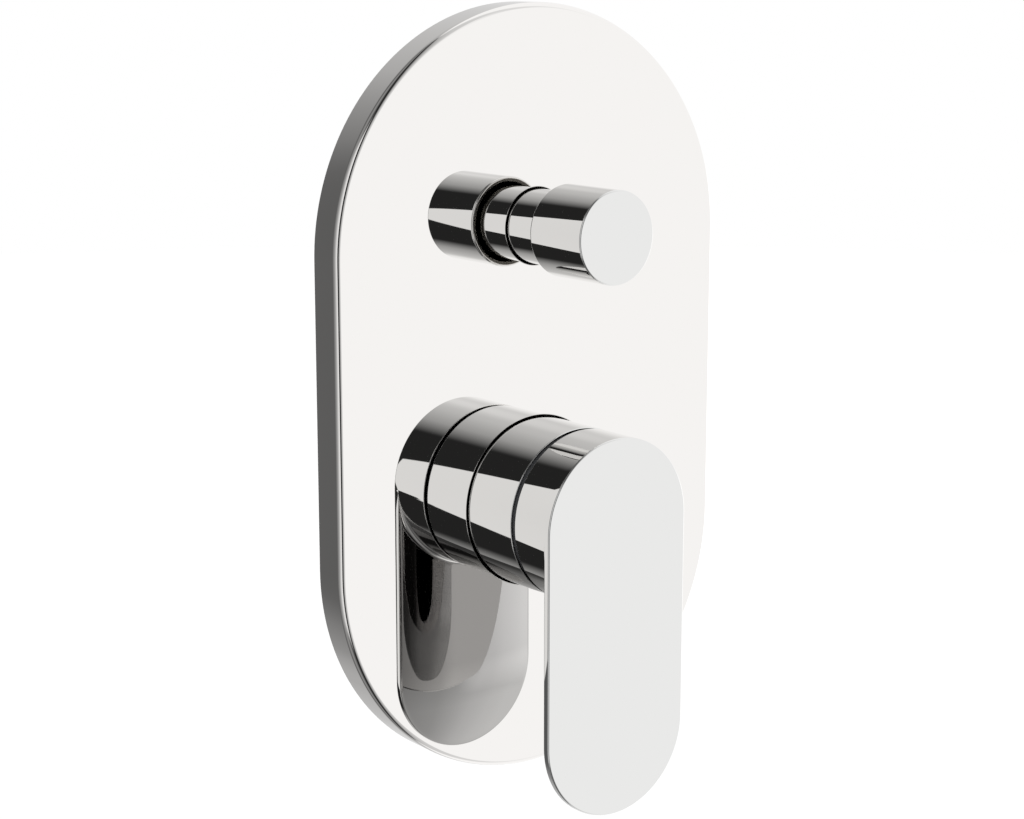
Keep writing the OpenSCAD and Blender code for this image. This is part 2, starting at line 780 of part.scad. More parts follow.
// Body casting: mixing chamber, diverter chamber, four ports, two channels and two fixing ears
module valve_body() {
    chamber_back = inlet_out - passage_r - port_wall;
    diverter_back = rear_end - diverter_wall;
    channel_foot = mixer_z - bath_reach + port_len;
    color("#b98f4a") stand() difference() {
        union() {
            translate([0, mixer_z, 0]) {
                bar(chamber_r, chamber_back, 0);
                bar(body_neck_r, chamber_back, body_neck_top);
                for (turn = [0, 180]) rotate([0, 0, turn]) translate([0, 0, inlet_out])
                    rotate([0, 90, 0]) port_body(inlet_reach);
                translate([0, 0, bath_port_out]) rotate([90, 0, 0]) port_body(bath_reach);
            }
            translate([0, diverter_z, 0]) {
                bar(diverter_body_r, diverter_back, bonnet_face);
                translate([0, 0, shower_out]) rotate([-90, 0, 0]) port_body(shower_reach);
            }
            upright(mixed_r + channel_wall, mixer_z, diverter_z, mixed_out);
            upright(bath_r + channel_wall, channel_foot, diverter_z, bath_out);
            translate([-ear_x, ear_y - strap_w / 2, ear_out - ear_t / 2])
                cube([2 * ear_x, strap_w, ear_t]);
            for (side = [-1, 1])
                translate([side * ear_x, ear_y, 0]) bar(ear_r, ear_out - ear_t / 2, ear_out + ear_t / 2);
        }
        translate([0, mixer_z, 0]) {
            bar(cart_r + fit, seat_out, body_neck_top + over);
            bar(nut_r + fit, shoulder_out, body_neck_top + over);
            port_pair(inlet_port_r, inlet_out, seat_out + over);
            outlet_port(outlet_port_r, mixed_out, seat_out + over);
            for (turn = [0, 180]) rotate([0, 0, turn]) {
                across(passage_r, inlet_port_x - passage_past, inlet_reach, 0, inlet_out);
                across(port_r, inlet_reach - port_len, inlet_reach + over, 0, inlet_out);
            }
            upright(port_r, -bath_reach - over, -bath_reach + port_len, bath_port_out);
        }
        translate([0, diverter_z, 0]) {
            bar(rear_bore, rear_end, seat_front);
            bar(seat_r + fit, seat_back, seat_front);
            bar(circlip_r + fit, seat_front, seat_front + circlip_t);
            bar(front_bore, seat_front, bonnet_back + over);
            bar(bonnet_r + fit, bonnet_back, bonnet_face + over);
            upright(shower_r, 0, shower_reach, shower_out);
            upright(port_r, shower_reach - port_len, shower_reach + over, shower_out);
        }
        upright(mixed_r, mixer_z + outlet_port_y - outlet_port_r, diverter_z, mixed_out);
        upright(bath_r, channel_foot - over, diverter_z, bath_out);
        for (side = [-1, 1])
            translate([side * ear_x, ear_y, 0]) bar(ear_hole_r, ear_out - ear_t, ear_out + ear_t);
    }
}

valve_body();
escutcheon();
wall_gasket();
mixer_sleeve();
sleeve_oring();
glide_ring();
cartridge_nut();
limit_ring();
cartridge_housing();
cartridge_base();
base_seals();
fixed_disc();
moving_disc();
disc_carrier();
rotor();
pivot_pin();
spindle();
lever();
lever_screw();
lever_plug();
diverter_sleeve();
neck_oring();
diverter_knob();
diverter_rod();
front_washer();
rear_washer();
rear_disc();
rod_clip();
seat_insert();
seat_seals();
seat_circlip();
diverter_bonnet();
bonnet_gasket();
rod_oring();
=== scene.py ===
import json
import math

import bmesh
import bpy
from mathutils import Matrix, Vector


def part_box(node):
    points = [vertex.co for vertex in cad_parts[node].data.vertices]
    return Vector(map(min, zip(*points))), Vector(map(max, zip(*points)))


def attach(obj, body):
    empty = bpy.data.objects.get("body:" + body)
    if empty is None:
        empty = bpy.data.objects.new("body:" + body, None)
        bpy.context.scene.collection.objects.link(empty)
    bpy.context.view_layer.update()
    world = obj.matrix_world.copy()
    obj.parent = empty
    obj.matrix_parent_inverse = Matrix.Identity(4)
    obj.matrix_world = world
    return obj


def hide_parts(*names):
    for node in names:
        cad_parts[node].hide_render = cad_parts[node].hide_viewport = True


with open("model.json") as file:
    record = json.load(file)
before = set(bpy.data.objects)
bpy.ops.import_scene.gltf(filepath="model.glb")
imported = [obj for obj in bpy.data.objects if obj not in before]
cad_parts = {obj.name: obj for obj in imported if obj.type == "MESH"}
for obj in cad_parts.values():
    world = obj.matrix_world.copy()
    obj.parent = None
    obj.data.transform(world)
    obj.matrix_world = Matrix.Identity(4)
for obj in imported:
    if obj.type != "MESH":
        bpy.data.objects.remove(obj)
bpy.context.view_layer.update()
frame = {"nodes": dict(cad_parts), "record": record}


# The valve body sits in the wall and carries everything else. It is a brass casting, shot-blasted all
# over to a dull grain. Its four ports are turned bright on their faces and tapped G1/2.
nodes = frame["nodes"]
record = frame["record"]


def linear(code):
    """An sRGB hex colour as the linear colour that a shader takes. A number is a linear grey."""
    if not isinstance(code, str):
        return [code, code, code, 1.0]
    parts = [int(code[i:i + 2], 16) / 255 for i in (1, 3, 5)]
    return [c / 12.92 if c <= 0.04045 else ((c + 0.055) / 1.055) ** 2.4 for c in parts] + [1.0]


def add(tree, kind, inputs=(), stops=(), **settings):
    """Adds a shader node with its settings, its links and the stops of its colour ramp.

    The inputs are given in order or by name: each is a value, a hex colour, or what is linked to it,
    which is a socket, or a node for its first output."""
    made = tree.nodes.new("ShaderNode" + kind)
    for name, value in settings.items():
        setattr(made, name, value)
    named = inputs if isinstance(inputs, dict) else dict(enumerate(inputs))
    for name, value in named.items():
        if isinstance(value, bpy.types.Node):
            value = value.outputs[0]
        if isinstance(value, bpy.types.NodeSocket):
            tree.links.new(value, made.inputs[name])
        else:
            made.inputs[name].default_value = linear(value) if isinstance(value, str) else value
    # A new colour ramp has two stops already.
    for stop in stops[2:]:
        made.color_ramp.elements.new(stop[0])
    for number, (place, code) in enumerate(stops):
        made.color_ramp.elements[number].position = place
        made.color_ramp.elements[number].color = linear(code)
    return made


def hypot(tree, first, second):
    """The length of the line whose two sides are given."""
    squares = [add(tree, "Math", [side, side], operation="MULTIPLY") for side in (first, second)]
    return add(tree, "Math", [add(tree, "Math", squares, operation="ADD")], operation="SQRT")


def new_finish(name):
    """An empty material, its node tree, and the surface's place on its piece in millimetres."""
    made = bpy.data.materials.new(name)
    made.use_nodes = True
    tree = made.node_tree
    tree.nodes.clear()
    place = add(tree, "TexCoord").outputs["Object"]
    return made, tree, add(tree, "VectorMath", {0: place, "Scale": 1000}, operation="SCALE")


def dress(finish, *names):
    """Gives CAD pieces that finish in place of the one they came with."""
    for name in names:
        nodes[name].data.materials.clear()
        nodes[name].data.materials.append(finish)


def mount(name):
    """A mount's place in millimetres and its axis, from the record."""
    row = next(m for m in record["mounts"] if m["name"] == name)
    return [1000 * value for value in row["pos_m"]], row["axis"], row["dims"]


# Blasted brass: a matt yellow-brown skin with a fine even grain, darker in its pits. Where a tool has
# been, at the mouths and in the threads of the ports, the metal is paler and shines. The sizes of the
# fitting and of its finishes are all in millimetres.
grain_size = 0.45
grain_deep = 0.12
blot_size = 7.0
thread_pitch = 1.814
thread_deep = 1.16
face_skin = 0.05
ports = ("hot_inlet", "cold_inlet", "shower_outlet", "bath_outlet")
blasted_brass, tree, mm = new_finish("blasted_cast_brass")
x, y, z = add(tree, "SeparateXYZ", [mm]).outputs
grain = add(tree, "TexNoise", {"Vector": mm, "Scale": 1 / grain_size, "Detail": 4.0})
blots = add(tree, "TexNoise", {"Vector": mm, "Scale": 1 / blot_size, "Detail": 3.0})
cut = 0.0
for port in ports:
    centre, axis, dims = mount(port)
    half = dims["length_mm"] / 2
    along, side = (x, z) if axis[0] else (z, x)
    middle, beside = (centre[0], centre[2]) if axis[0] else (centre[2], centre[0])
    from_middle = add(tree, "Math", [along, middle], operation="SUBTRACT")
    out = add(tree, "Math", [from_middle, axis[0] or axis[2]], operation="MULTIPLY")
    off_axis = add(tree, "Math", [side, beside], operation="SUBTRACT")
    behind_axis = add(tree, "Math", [y, centre[1]], operation="SUBTRACT")
    radius = hypot(tree, off_axis, behind_axis)
    root_r = dims["r_mm"] + thread_deep + face_skin
    in_thread = add(tree, "Math", [radius, root_r], operation="LESS_THAN")
    in_depth = add(tree, "Math", [out, -half - face_skin], operation="GREATER_THAN")
    in_bore = add(tree, "Math", [in_thread, in_depth], operation="MULTIPLY")
    on_face = add(tree, "Math", [out, half - face_skin], operation="GREATER_THAN")
    tooled = add(tree, "Math", [in_bore, on_face], operation="MAXIMUM")
    cut = add(tree, "Math", [cut, tooled], operation="MAXIMUM")
dirt = add(tree, "Math", [grain, blots], operation="MULTIPLY")
skin = add(tree, "ValToRGB", [dirt], stops=((0.1, "#8e7443"), (0.25, "#bfa068"), (0.42, "#d9bf8a")))
# A Mix node's two colours are its inputs 6 and 7, and its colour output is the third.
colour = add(tree, "Mix", {0: cut, 6: skin, 7: "#dcc283"}, data_type="RGBA").outputs[2]
roughness = add(tree, "MapRange", [cut, 0.0, 1.0, 0.52, 0.22])
uncut = add(tree, "Math", [1.0, cut], operation="SUBTRACT")
height = add(tree, "Math", [grain, uncut], operation="MULTIPLY")
bumps = add(tree, "Bump", {"Height": height, "Distance": grain_deep / 1000, "Strength": 1.0})
shader = add(tree, "BsdfPrincipled", {"Base Color": colour, "Metallic": 1.0, "Roughness": roughness,
                                      "Normal": bumps})
add(tree, "OutputMaterial", [shader])


same_place = 0.002
sharp = math.radians(32)


def make_piece(name, shape, finish, slot, body, *stands_for):
    """A piece from that mesh, smooth but for its sharp edges, in place of the CAD nodes it stands for."""
    bmesh.ops.remove_doubles(shape, verts=shape.verts, dist=same_place / 1000)
    for face in shape.faces:
        face.smooth = True
    for edge in shape.edges:
        edge.smooth = len(edge.link_faces) == 2 and edge.calc_face_angle(math.pi) < sharp
    mesh = bpy.data.meshes.new(name)
    shape.to_mesh(mesh)
    shape.free()
    piece = bpy.data.objects.new(name, mesh)
    bpy.context.scene.collection.objects.link(piece)
    mesh.materials.clear()
    mesh.materials.append(finish)
    even = piece.modifiers.new("even_faces", "WEIGHTED_NORMAL")
    even.keep_sharp = True
    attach(piece, body)
    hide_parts(*stands_for)


def ring_edges(shape, ring):
    """The edges along a ring of points."""
    return [shape.edges.get((a, b)) or shape.edges.new((a, b)) for a, b in zip(ring, ring[1:] + ring[:1])]


# The casting keeps the CAD's shape, and the plain bore of each port is cut away for a real thread: the
# G1/2 helix from the port's face inwards, its crests at the bore and its roots in the wall behind them.
casting = bmesh.new()
casting.from_mesh(nodes["valve_body"].data)
bmesh.ops.remove_doubles(casting, verts=casting.verts, dist=same_place / 1000)
thread_turn_steps = 72
thread_pitch_steps = 8
thread_runout = 2 / 3
flank_slope = 2.6
crest_flat = 0.15
seam_deep = 1.5
along_bore = 0.1
for port in ports:
    centre, axis, dims = mount(port)
    centre = Vector(centre) / 1000
    axis = Vector(axis)
    first = axis.cross(Vector((0, 1, 0)))
    second = axis.cross(first)
    crest, half = dims["r_mm"] / 1000, dims["length_mm"] / 2000
    slack = face_skin / 1000
    bore = []
    for face in casting.faces:
        places = [corner.co - centre for corner in face.verts]
        spans = [abs(place.dot(axis)) for place in places]
        radii = [(place - place.dot(axis) * axis).length for place in places]
        facing = abs(face.normal.dot(axis))
        round_bore = max(abs(r - crest) for r in radii) < slack and facing < along_bore
        if round_bore and max(spans) < half + slack:
            bore.append(face)
    bmesh.ops.delete(casting, geom=bore, context="FACES")
    rows = round(2 * half * 1000 / thread_pitch * thread_pitch_steps)
    grid = []
    for row in range(rows + 1):
        along = -half + 2 * half * row / rows
        fade = min(1.0, min(row, rows - row) / thread_pitch_steps / thread_runout)
        ring = []
        for step in range(thread_turn_steps):
            angle = math.tau * step / thread_turn_steps
            phase = (along * 1000 / thread_pitch + step / thread_turn_steps) % 1.0
            flank = min(1.0, max(0.0, flank_slope * min(phase, 1 - phase) - crest_flat))
            radius = crest + fade * flank * thread_deep / 1000
            ring.append(casting.verts.new(
                centre + along * axis + radius * (math.cos(angle) * first + math.sin(angle) * second)))
        grid.append(ring)
    for low, high in zip(grid, grid[1:]):
        for step in range(thread_turn_steps):
            after = (step + 1) % thread_turn_steps
            casting.faces.new((low[step], high[step], high[after], low[after]))
    for ring, place in ((grid[0], -half), (grid[-1], half)):
        seam = ring_edges(casting, ring)
        for edge in casting.edges:
            ends = [corner.co - centre - place * axis for corner in edge.verts]
            near = all(abs(end.dot(axis)) < seam_deep / 1000 for end in ends)
            if near and edge.is_boundary and edge not in seam and all(
                    abs((end - end.dot(axis) * axis).length - crest) < slack for end in ends):
                seam.append(edge)
        bmesh.ops.bridge_loops(casting, edges=seam)
make_piece("body_casting", casting, blasted_brass, "cast_brass", "fixed", "valve_body")


# The diverter's valve works: a seat insert with two rubber rings and a spring clip, a rod with two rubber
# washers, and the bonnet that closes the chamber. The metal ones are bar-turned brass or spring steel.

# Noise runs from 0 to 1 but lies mostly between these two levels, and the finishes are laid out over them.
noise_low = 0.3
noise_high = 0.7


def turned(name, pair, height, feed, roughness):
    """Metal turned about an axis at that height: fine rings on its faces and along its barrel."""
    tarnish_size = 5.0
    ring_deep = 0.015
    made, tree, mm = new_finish(name)
    x, y, z = add(tree, "SeparateXYZ", [mm]).outputs
    radius = hypot(tree, x, add(tree, "Math", [z, height], operation="SUBTRACT"))
    along = add(tree, "Math", [radius, y], operation="ADD")
    ring = add(tree, "Math", [along, feed], operation="DIVIDE")
    lines = add(tree, "TexNoise", {"W": ring, "Scale": 1.0, "Detail": 1.0}, noise_dimensions="1D")
    tarnish = add(tree, "TexNoise", {"Vector": mm, "Scale": 1 / tarnish_size, "Detail": 3.0})
    colour = add(tree, "ValToRGB", [tarnish], stops=((noise_low, pair[0]), (noise_high, pair[1])))
    rough = add(tree, "MapRange", [lines, noise_low, noise_high, roughness - 0.06, roughness + 0.08])
    rings = add(tree, "Bump", {"Height": lines, "Distance": ring_deep / 1000, "Strength": 1.0})
    shader = add(tree, "BsdfPrincipled", {"Base Color": colour, "Metallic": 1.0, "Roughness": rough,
                                          "Normal": rings})
    add(tree, "OutputMaterial", [shader])
    return made


# Turned brass: pale yellow, with the rings of the tool drawn at twice a real feed so that they show.
diverter_height = 1000 * (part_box("diverter_sleeve")[0][2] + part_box("diverter_sleeve")[1][2]) / 2
mixer_height = 1000 * (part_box("mixer_sleeve")[0][2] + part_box("mixer_sleeve")[1][2]) / 2
tool_feed = 0.3
brass_shades = ("#c7a865", "#dfc589")
dress(turned("turned_brass_diverter", brass_shades, diverter_height, tool_feed, 0.24),
      "seat_insert", "diverter_bonnet", "diverter_rod", "rear_disc")

# Stainless spring steel: grey, rolled and stamped, so a faint grain runs along it and its edges are dull.
streak_size = 0.8
streak_deep = 0.01
stamped_steel, tree, mm = new_finish("stamped_stainless_steel")
lengthways = add(tree, "Mapping", {"Vector": mm, "Scale": (0.3, 3.0, 3.0)})
streaks = add(tree, "TexNoise", {"Vector": lengthways, "Scale": 1 / streak_size, "Detail": 3.0})
colour = add(tree, "ValToRGB", [streaks], stops=((noise_low, "#b5b8ba"), (noise_high, "#cfd2d3")))
roughness = add(tree, "MapRange", [streaks, noise_low, noise_high, 0.24, 0.4])
bumps = add(tree, "Bump", {"Height": streaks, "Distance": streak_deep / 1000, "Strength": 1.0})
shader = add(tree, "BsdfPrincipled", {"Base Color": colour, "Metallic": 1.0, "Roughness": roughness,
                                      "Normal": bumps})
add(tree, "OutputMaterial", [shader])
dress(stamped_steel, "seat_circlip", "rod_clip")

# Nitrile rubber: near black and matt, with the fine pitted skin of the mould and a pale bloom.
pit_size = 0.25
pit_deep = 0.02
bloom_size = 4.0
moulded_rubber, tree, mm = new_finish("moulded_nitrile_rubber")
pits = add(tree, "TexNoise", {"Vector": mm, "Scale": 1 / pit_size, "Detail": 3.0})
bloom = add(tree, "TexNoise", {"Vector": mm, "Scale": 1 / bloom_size, "Detail": 4.0})
colour = add(tree, "ValToRGB", [bloom], stops=((0.35, "#161616"), (0.75, "#262625")))
roughness = add(tree, "MapRange", [pits, noise_low, noise_high, 0.55, 0.72])
bumps = add(tree, "Bump", {"Height": pits, "Distance": pit_deep / 1000, "Strength": 1.0})
shader = add(tree, "BsdfPrincipled", {"Base Color": colour, "Roughness": roughness, "Normal": bumps})
add(tree, "OutputMaterial", [shader])
dress(moulded_rubber, "seat_seals", "front_washer", "rear_washer", "rod_oring")

# Pressed fibre sheet: brick red, cut from a board whose fibres show as fine flecks.
fleck_size = 0.6
fleck_deep = 0.04
pressed_fibre, tree, mm = new_finish("pressed_red_fibre")
pressed = add(tree, "Mapping", {"Vector": mm, "Scale": (1.0, 4.0, 0.5)})
flecks = add(tree, "TexNoise", {"Vector": pressed, "Scale": 1 / fleck_size, "Detail": 5.0})
colour = add(tree, "ValToRGB", [flecks], stops=((noise_low, "#7a332b"), (noise_high, "#9c5145")))
bumps = add(tree, "Bump", {"Height": flecks, "Distance": fleck_deep / 1000, "Strength": 1.0})
shader = add(tree, "BsdfPrincipled", {"Base Color": colour, "Roughness": 0.8, "Normal": bumps})
add(tree, "OutputMaterial", [shader])
dress(pressed_fibre, "bonnet_gasket")


# The cartridge mixes the water: two lapped ceramic discs over a rubber-sealed base, in a plastic housing
# that a brass nut holds down. A rotor on the housing's neck carries the pin on which the lever tilts.
def moulded(name, dark, pale, roughness, texture_size=0.14):
    """Injection-moulded plastic: an even colour, clouded a little, under a fine spark-eroded texture."""
    flow_size = 9.0
    texture_deep = 0.008
    made, tree, mm = new_finish(name)
    flow = add(tree, "TexNoise", {"Vector": mm, "Scale": 1 / flow_size, "Detail": 3.0})
    fine = add(tree, "TexNoise", {"Vector": mm, "Scale": 1 / texture_size, "Detail": 2.0})
    colour = add(tree, "ValToRGB", [flow], stops=((noise_low, dark), (noise_high, pale)))
    rough = add(tree, "MapRange", [fine, noise_low, noise_high, roughness - 0.06, roughness + 0.06])
    bumps = add(tree, "Bump", {"Height": fine, "Distance": texture_deep / 1000, "Strength": 1.0})
    shader = add(tree, "BsdfPrincipled", {"Base Color": colour, "Roughness": rough, "Normal": bumps})
    add(tree, "OutputMaterial", [shader])
    return made


# Acetal is dense and a little waxy, white or black. Glass-filled nylon is duller, grey or red.
dress(moulded("moulded_white_acetal", "#e3dfd4", "#ece9e0", 0.36),
      "cartridge_housing", "disc_carrier", "rotor")
dress(moulded("moulded_grey_nylon", "#4f5356", "#5f6366", 0.5, 0.2), "cartridge_base")
dress(moulded("moulded_red_nylon", "#b8332a", "#c9443a", 0.46, 0.2), "limit_ring")
dress(moulded_rubber, "base_seals")
dress(turned("turned_brass_mixer", brass_shades, mixer_height, tool_feed, 0.24),
      "cartridge_nut", "spindle")
dress(stamped_steel, "pivot_pin")

# Alumina ceramic: ivory white, fired and then lapped flat, so it shines softly and shows a faint speckle.
crystal_size = 0.3
crystal_deep = 0.002
lapped_ceramic, tree, mm = new_finish("lapped_alumina_ceramic")
crystals = add(tree, "TexNoise", {"Vector": mm, "Scale": 1 / crystal_size, "Detail": 4.0})
colour = add(tree, "ValToRGB", [crystals], stops=((noise_low, "#e9e4d8"), (noise_high, "#f3efe6")))
roughness = add(tree, "MapRange", [crystals, noise_low, noise_high, 0.14, 0.24])
bumps = add(tree, "Bump", {"Height": crystals, "Distance": crystal_deep / 1000, "Strength": 1.0})
shader = add(tree, "BsdfPrincipled", {"Base Color": colour, "Roughness": roughness, "Normal": bumps})
add(tree, "OutputMaterial", [shader])
dress(lapped_ceramic, "fixed_disc", "moving_disc")


# The plate hides the opening in the wall. It is pressed from brass sheet, polished and chromed, so it is
# a mirror for the two controls on it. Collars behind its holes hold the rings that seal the sleeves.
def chromed(name, code, haze_low, haze_high, unbuffed_and_painted_shade=None, unbuffed_and_painted_shade_code="#a2a2a2", unbuffed_and_painted_shade_haze=0.03):
    """Bright chromium plate: a mirror under a faint haze that the polishing mops leave in soft clouds.

    The mask for the other colour and haze gives, from 0 to 1, how far each place takes them: the
    unpolished skin that the mops and the plating left as it was, and painted shade on the lever's paddle
    and inside the knob's skirt."""
    cloud_size = 12.0
    made, tree, mm = new_finish(name)
    clouds = add(tree, "TexNoise", {"Vector": mm, "Scale": 1 / cloud_size, "Detail": 5.0})
    roughness = add(tree, "MapRange", [clouds, noise_low, noise_high, haze_low, haze_high])
    colour = code
    if unbuffed_and_painted_shade:
        # The other colour is an unpolished skin on the plate's back, and painted shade on the paddle and
        # in the knob's skirt.
        share = unbuffed_and_painted_shade(tree, mm)
        colour = add(tree, "Mix", {0: share, 6: code, 7: unbuffed_and_painted_shade_code}, data_type="RGBA").outputs[2]
        rough = add(tree, "Math", [share, unbuffed_and_painted_shade_haze], operation="MULTIPLY")
        roughness = add(tree, "Math", [roughness, rough], operation="MAXIMUM")
    shader = add(tree, "BsdfPrincipled", {"Base Color": colour, "Metallic": 1.0, "Roughness": roughness})
    add(tree, "OutputMaterial", [shader])
    return made


def at(across, up, out, height):
    """A point beside an axis at that height, in metres: out is its distance from the wall."""
    return Vector((across / 1000, -out / 1000, (height + up) / 1000))


def quarter(steps):
    """Sine and cosine round a quarter circle."""
    angles = [math.pi / 2 * k / steps for k in range(steps + 1)]
    return [(math.sin(angle), math.cos(angle)) for angle in angles]


def strip(shape, first, second, closed=True):
    """Faces between two rows of points with the same number in each."""
    count = len(first)
    for here in range(count if closed else count - 1):
        there = (here + 1) % count
        corners = []
        for corner in (first[here], first[there], second[there], second[here]):
            if corner not in corners:
                corners.append(corner)
        if len(corners) > 2:
            shape.faces.new(corners)


def rounded(corners, steps=6):
    """A half section with its corners rounded: each corner is a radius, a distance out and a rounding."""
    points = []
    for index, (r, out, round_r) in enumerate(corners):
        here = Vector((r, out))
        if not round_r:
            points.append(here)
            continue
        before = (Vector(corners[index - 1][:2]) - here).normalized()
        after = (Vector(corners[(index + 1) % len(corners)][:2]) - here).normalized()
        middle = here + round_r * (before + after)
        for sine, cosine in quarter(steps):
            points.append(middle - round_r * (after * cosine + before * sine))
    return points


half_turn_steps = 96


def track(shape, r, out, height, half=0.0):
    """A ring of points round an axis, or round two of them, half above and half below that height."""
    ring = []
    for side in (1, -1):
        for k in range(half_turn_steps + (1 if half else 0)):
            angle = math.pi * (k / half_turn_steps + (0 if side > 0 else 1))
            ring.append(shape.verts.new(
                at(r * math.cos(angle), r * math.sin(angle) + side * half, out, height)))
    return ring


def swept(shape, points, height, half=0.0, closed=False):
    """Rings through the points of a half section, with faces between them, and the rings' list."""
    rings = []
    for r, out in points:
        if r:
            rings.append(track(shape, r, out, height, half))
        else:
            rings.append([shape.verts.new(at(0, 0, out, height))] * (2 * half_turn_steps))
    for first, second in zip(rings, rings[1:] + (rings[:1] if closed else [])):
        strip(shape, first, second)
    return rings


# Of these and later sizes, _r is a radius, _half is half a length and _out is a distance from the wall.
plate_r = 60.0
plate_half = 38.0
plate_out = 9.2
plate_wall = 1.5
plate_edge = 1.4
bend_inside = 0.3
hole_gap = 0.4
hole_lip = 0.25
collar_wall = 1.6
collar_foot = 2.2
hub_r = 21.8
neck_r = 9.4
sheet_back = plate_out - plate_wall
plate = bmesh.new()
rim_rings = swept(plate, rounded([
    (plate_r - plate_edge, plate_out, 0), (plate_r, plate_out, plate_edge), (plate_r, 0, 0),
    (plate_r - plate_wall, 0, 0), (plate_r - plate_wall, sheet_back, bend_inside),
    (plate_r - plate_wall - bend_inside, sheet_back, 0)], steps=14)[1:-1], 0, plate_half)
front_rings, back_rings = [rim_rings[0]], [rim_rings[-1]]
for sleeve_r, height in ((hub_r, mixer_height), (neck_r, diverter_height)):
    hole_r = sleeve_r + hole_gap
    collar = swept(plate, rounded([
        (hole_r + hole_lip, plate_out, 0), (hole_r, plate_out, hole_lip), (hole_r, collar_foot, 0),
        (hole_r + collar_wall, collar_foot, 0), (hole_r + collar_wall, sheet_back, 0)])[1:], height)
    front_rings.append(collar[0])
    back_rings.append(collar[-1])
for rings in (front_rings, back_rings):
    edges = [edge for ring in rings for edge in ring_edges(plate, ring)]
    bmesh.ops.triangle_fill(plate, use_beauty=True, edges=edges)
bmesh.ops.recalc_face_normals(plate, faces=plate.faces)


def plate_back(tree, mm):
    """1 on the hollow side of the plate, which the polishing wheels don't reach."""
    x, y, z = add(tree, "SeparateXYZ", [mm]).outputs
    from_middle = add(tree, "Math", [z], operation="ABSOLUTE")
    beyond = add(tree, "Math", [from_middle, plate_half], operation="SUBTRACT")
    radius = hypot(tree, x, add(tree, "Math", [beyond, 0.0], operation="MAXIMUM"))
    inside = add(tree, "Math", [radius, plate_r - plate_wall / 2], operation="LESS_THAN")
    behind = add(tree, "Math", [y, -sheet_back - face_skin], operation="GREATER_THAN")
    return add(tree, "Math", [inside, behind], operation="MULTIPLY")


# Chromium on the pressed plate: a flat mirror, a touch warm where it shows the white studio. Behind, it
# is only a thin flash over the satin skin of the pressing.
make_piece("cover_plate", plate,
           chromed("chromed_sheet_brass", "#f5f3f1", 0.006, 0.014, unbuffed_and_painted_shade=plate_back,
                   unbuffed_and_painted_shade_code="#b5b1a8", unbuffed_and_painted_shade_haze=0.4), "chrome", "fixed", "escutcheon")


# A foam strip inside the plate's rim keeps water out of the wall. It is cut from sheet and stuck in.
# Closed-cell foam: dark grey, with cells about half a millimetre across, cut open on its faces.
cell_size = 0.6
cell_deep = 0.25
cut_foam, tree, mm = new_finish("closed_cell_foam")
cells = add(tree, "TexVoronoi", {"Vector": mm, "Scale": 1 / cell_size}).outputs["Distance"]
colour = add(tree, "ValToRGB", [cells], stops=((0.1, "#3a3d40"), (0.6, "#54585c")))
bumps = add(tree, "Bump", {"Height": cells, "Distance": cell_deep / 1000, "Strength": 1.0})
shader = add(tree, "BsdfPrincipled", {"Base Color": colour, "Roughness": 0.9, "Normal": bumps})
add(tree, "OutputMaterial", [shader])
dress(cut_foam, "wall_gasket")


# The mixer's sleeve covers the body's neck, and the diverter's neck covers its bonnet. Both are turned
# from brass, chromed and held in the plate by a rubber ring. The black acetal ring guides the lever.
sleeve_out = 26.7
sleeve_foot = 1.0
body_neck_r = 19.05
body_neck_top = 19.8
sleeve_rib_r = 18.0
sleeve_rib_top = 21.8
guide_r = 19.75
groove_out = 4.9
groove_top = 6.7
groove_deep = 1.1
ring_half = 0.7
ring_steps = 32
squeeze = 0.05
neck_foot = 1.5
neck_out = 32.2
neck_bore_r = 7.4
turned_edge = 0.2


def groove(r):
    """The corners of the ring's groove in a sleeve of that radius."""
    return [(r, groove_out, 0), (r - groove_deep, groove_out, 0), (r - groove_deep, groove_top, 0),
            (r, groove_top, 0)]


# Chromium on the turned brass of both sleeves: a mirror as on the plate, a shade darker and without its
# warmth. The knob and the lever are the same outside.
control_code = "#e9e9e8"
control_haze = (0.006, 0.016)
turned_chrome = chromed("chromed_turned_brass", control_code, *control_haze)
sleeve = bmesh.new()
swept(sleeve, rounded([
    (body_neck_r, sleeve_foot, 0), (hub_r, sleeve_foot, turned_edge), *groove(hub_r),
    (hub_r, sleeve_out, turned_edge), (guide_r, sleeve_out, turned_edge),
    (guide_r, sleeve_rib_top, 0), (sleeve_rib_r, sleeve_rib_top, 0),
    (sleeve_rib_r, body_neck_top, 0), (body_neck_r, body_neck_top, 0)]), mixer_height, closed=True)
bmesh.ops.recalc_face_normals(sleeve, faces=sleeve.faces)
make_piece("cover_sleeve", sleeve, turned_chrome, "chrome", "fixed", "mixer_sleeve")
neck = bmesh.new()
swept(neck, rounded([
    (neck_bore_r, neck_foot, 0), (neck_r, neck_foot, turned_edge), *groove(neck_r),
    (neck_r, neck_out, turned_edge), (neck_bore_r, neck_out, turned_edge)]), diverter_height, closed=True)
bmesh.ops.recalc_face_normals(neck, faces=neck.faces)
make_piece("cover_neck", neck, turned_chrome, "chrome", "fixed", "diverter_sleeve")


def rubber_ring(name, inside_r, height, node):
    """A ring of round section in the groove of a sleeve, pressed lightly on the plate's collar."""
    shape = bmesh.new()
    middle_r = inside_r + hole_gap - ring_half + squeeze
    middle_out = (groove_out + groove_top) / 2
    section = []
    for k in range(ring_steps):
        angle = math.tau * k / ring_steps
        section.append((middle_r + ring_half * math.cos(angle), middle_out + ring_half * math.sin(angle)))
    swept(shape, section, height, closed=True)
    bmesh.ops.recalc_face_normals(shape, faces=shape.faces)
    make_piece(name, shape, moulded_rubber, "rubber", "fixed", node)


rubber_ring("round_sleeve_ring", hub_r, mixer_height, "sleeve_oring")
rubber_ring("round_neck_ring", neck_r, diverter_height, "neck_oring")
dress(moulded("moulded_black_acetal", "#38393b", "#424346", 0.38), "glide_ring")


